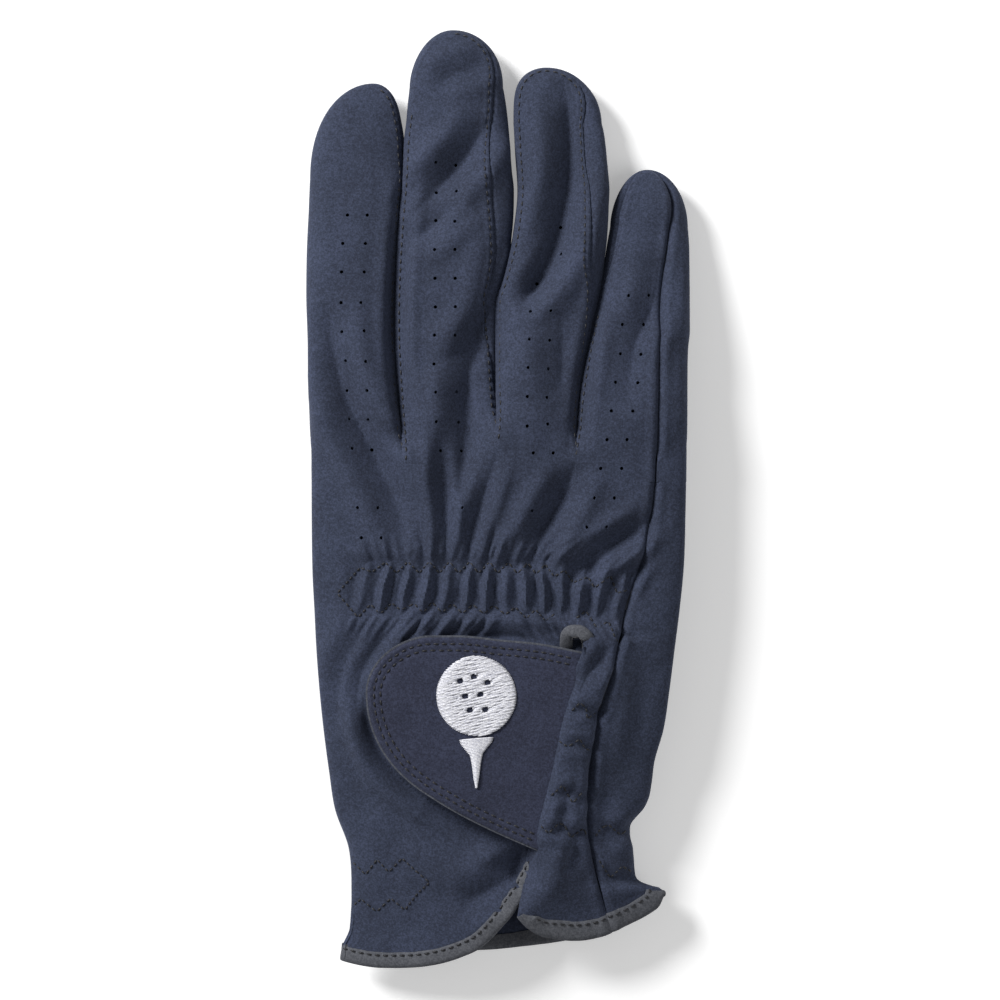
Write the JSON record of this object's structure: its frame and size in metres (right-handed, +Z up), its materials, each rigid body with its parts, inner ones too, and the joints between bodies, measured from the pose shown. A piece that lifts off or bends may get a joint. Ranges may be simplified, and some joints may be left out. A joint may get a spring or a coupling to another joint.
{
  "type": "golf glove",
  "caption": "Right-hand golf glove of thin suede-like cloth, lying on its palm with the thumb folded under; fingers bend and the wrist tab lifts.",
  "frame": {"origin": "middle of the glove's footprint, on the table it lies on", "axes": "+X across the knuckles towards the little finger, +Y from the cuff to the fingertips, +Z up out of the back of the hand"},
  "size_m": [0.0956, 0.235, 0.0233],
  "materials": {
    "suede_cloth": "matt brushed navy",
    "tab_suede": "matt brushed navy",
    "lining": "matt knitted",
    "hook_tape": "matt",
    "loop_tape": "matt looped",
    "elastic": "matt ribbed",
    "binding_tape": "matt woven grey",
    "embroidery": "satin thread white"
  },
  "bodies": {
    "hand": {"back_panel": "suede_cloth", "back_flap": "suede_cloth", "palm_panel": "suede_cloth", "loop_patch": "loop_tape", "tab_anchor": "lining", "knuckle_elastic": "elastic", "wrist_elastic": "elastic", "flap_elastic": "elastic", "left_hem_binding": "binding_tape", "flap_hem_binding": "binding_tape", "palm_hem_binding": "binding_tape", "index_knuckle_crease": "suede_cloth", "middle_knuckle_crease": "suede_cloth", "ring_knuckle_crease": "suede_cloth", "little_knuckle_crease": "suede_cloth", "thumb_crease": "suede_cloth"},
    "tab": {"tab_cover": "tab_suede", "tab_lining": "lining", "hook_patch": "hook_tape", "embroidered_motif": "embroidery"},
    "index": {"index_finger_back": "suede_cloth", "index_finger_palm": "suede_cloth", "index_outer_fourchette": "suede_cloth"},
    "middle": {"middle_finger_back": "suede_cloth", "middle_finger_palm": "suede_cloth", "middle_inner_fourchette": "suede_cloth", "middle_outer_fourchette": "suede_cloth"},
    "ring": {"ring_finger_back": "suede_cloth", "ring_finger_palm": "suede_cloth", "ring_inner_fourchette": "suede_cloth", "ring_outer_fourchette": "suede_cloth"},
    "little": {"little_finger_back": "suede_cloth", "little_finger_palm": "suede_cloth", "little_inner_fourchette": "suede_cloth"},
    "thumb": {"thumb_top": "suede_cloth", "thumb_base": "suede_cloth"}
  },
  "joints": [
    {"name": "index_knuckle", "type": "hinge", "parent": "hand", "child": "index", "pos_m": [-0.03645, 0.013, 0.0131], "axis": [-1, 0, 0], "range_deg": [-25, 80], "deforming": ["index_knuckle_crease"]},
    {"name": "middle_knuckle", "type": "hinge", "parent": "hand", "child": "middle", "pos_m": [-0.01245, 0.013, 0.0131], "axis": [-1, 0, 0], "range_deg": [-25, 80], "deforming": ["middle_knuckle_crease"]},
    {"name": "ring_knuckle", "type": "hinge", "parent": "hand", "child": "ring", "pos_m": [0.0103, 0.013, 0.0131], "axis": [-1, 0, 0], "range_deg": [-25, 80], "deforming": ["ring_knuckle_crease"]},
    {"name": "little_knuckle", "type": "hinge", "parent": "hand", "child": "little", "pos_m": [0.034, 0.013, 0.0131], "axis": [-1, 0, 0], "range_deg": [-25, 80], "deforming": ["little_knuckle_crease"]},
    {"name": "thumb_fold", "type": "hinge", "parent": "hand", "child": "thumb", "pos_m": [-0.0415, -0.036, 0.003], "axis": [0, 1, 0], "range_deg": [0, 180], "deforming": ["thumb_crease"]},
    {"name": "tab_fold", "type": "hinge", "parent": "hand", "child": "tab", "pos_m": [0.01428, -0.0611, 0.01967], "axis": [0.2417, 0.9678, 0.0709], "range_deg": [0, 110]}
  ]
}
